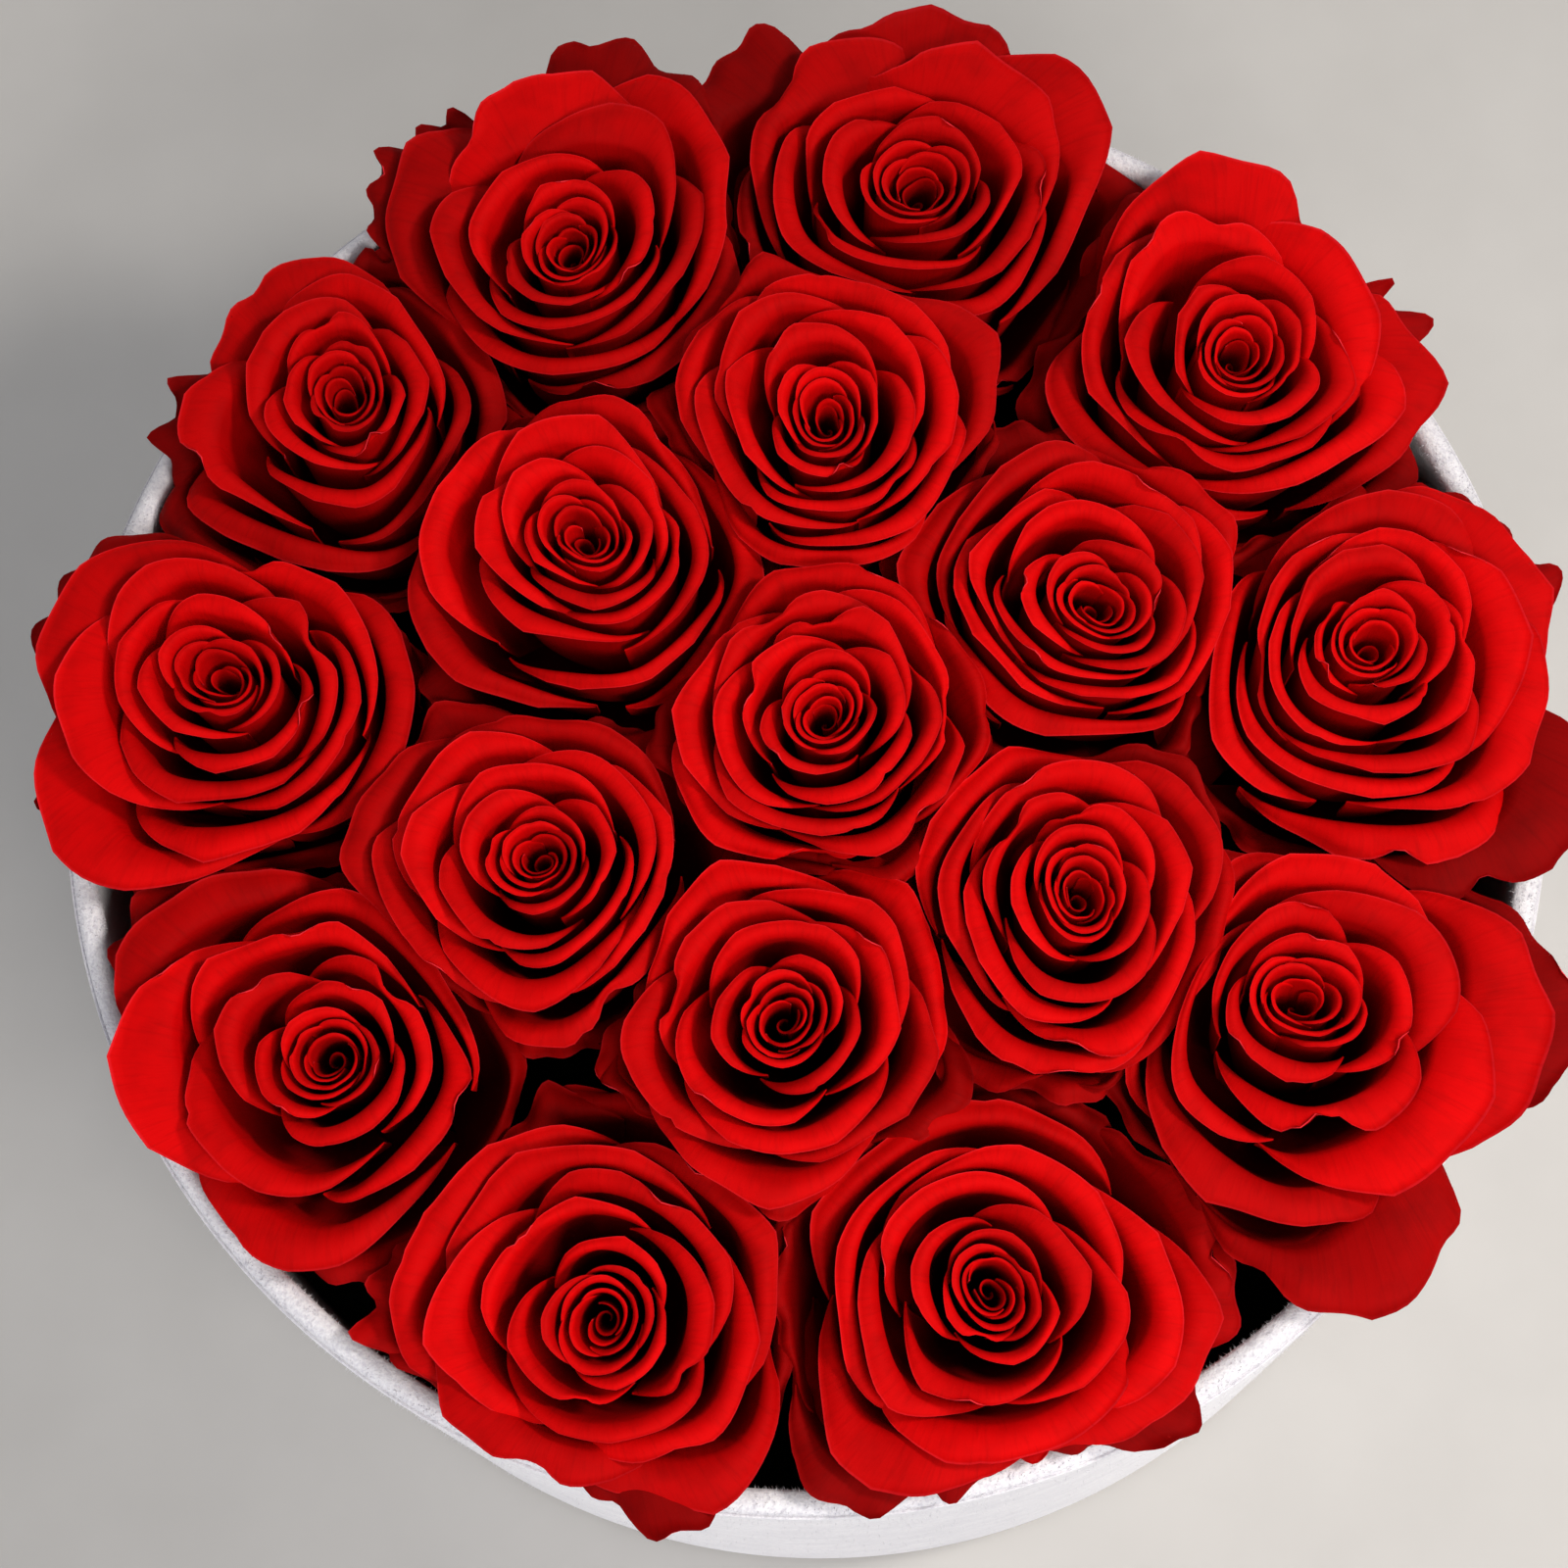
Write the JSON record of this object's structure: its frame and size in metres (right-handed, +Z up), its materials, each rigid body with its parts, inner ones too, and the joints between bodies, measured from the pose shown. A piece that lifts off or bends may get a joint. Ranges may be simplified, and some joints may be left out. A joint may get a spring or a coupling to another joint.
{
  "type": "preserved rose box",
  "caption": "Round white velvet hat box without a lid, packed with preserved red rose heads that stand in a foam disc and overhang the rim.",
  "frame": {"origin": "middle of the underside of the box, on the surface it stands on", "axes": "+Z up out of the box, +Y towards the top of the picture, +X to its right"},
  "size_m": [0.2312, 0.2331, 0.1637],
  "materials": {
    "velvet": "matt flocked velvet with a short pile",
    "board": "matt",
    "foam": "matt, fine pores",
    "petal": "matt velvety preserved petal",
    "stem": "matt dried stem"
  },
  "bodies": {
    "root": {"velvet_cover": "velvet", "wall_board": "board", "base_board": "board", "base_velvet": "velvet", "foam": "foam", "rose_01_bloom": "petal", "rose_01_stem": "stem", "rose_02_bloom": "petal", "rose_02_stem": "stem", "rose_03_bloom": "petal", "rose_03_stem": "stem", "rose_04_bloom": "petal", "rose_04_stem": "stem", "rose_05_bloom": "petal", "rose_05_stem": "stem", "rose_06_bloom": "petal", "rose_06_stem": "stem", "rose_07_bloom": "petal", "rose_07_stem": "stem", "rose_08_bloom": "petal", "rose_08_stem": "stem", "rose_09_bloom": "petal", "rose_09_stem": "stem", "rose_10_bloom": "petal", "rose_10_stem": "stem", "rose_11_bloom": "petal", "rose_11_stem": "stem", "rose_12_bloom": "petal", "rose_12_stem": "stem", "rose_13_bloom": "petal", "rose_13_stem": "stem", "rose_14_bloom": "petal", "rose_14_stem": "stem", "rose_15_bloom": "petal", "rose_15_stem": "stem", "rose_16_bloom": "petal", "rose_16_stem": "stem", "rose_17_bloom": "petal", "rose_17_stem": "stem"}
  },
  "joints": []
}
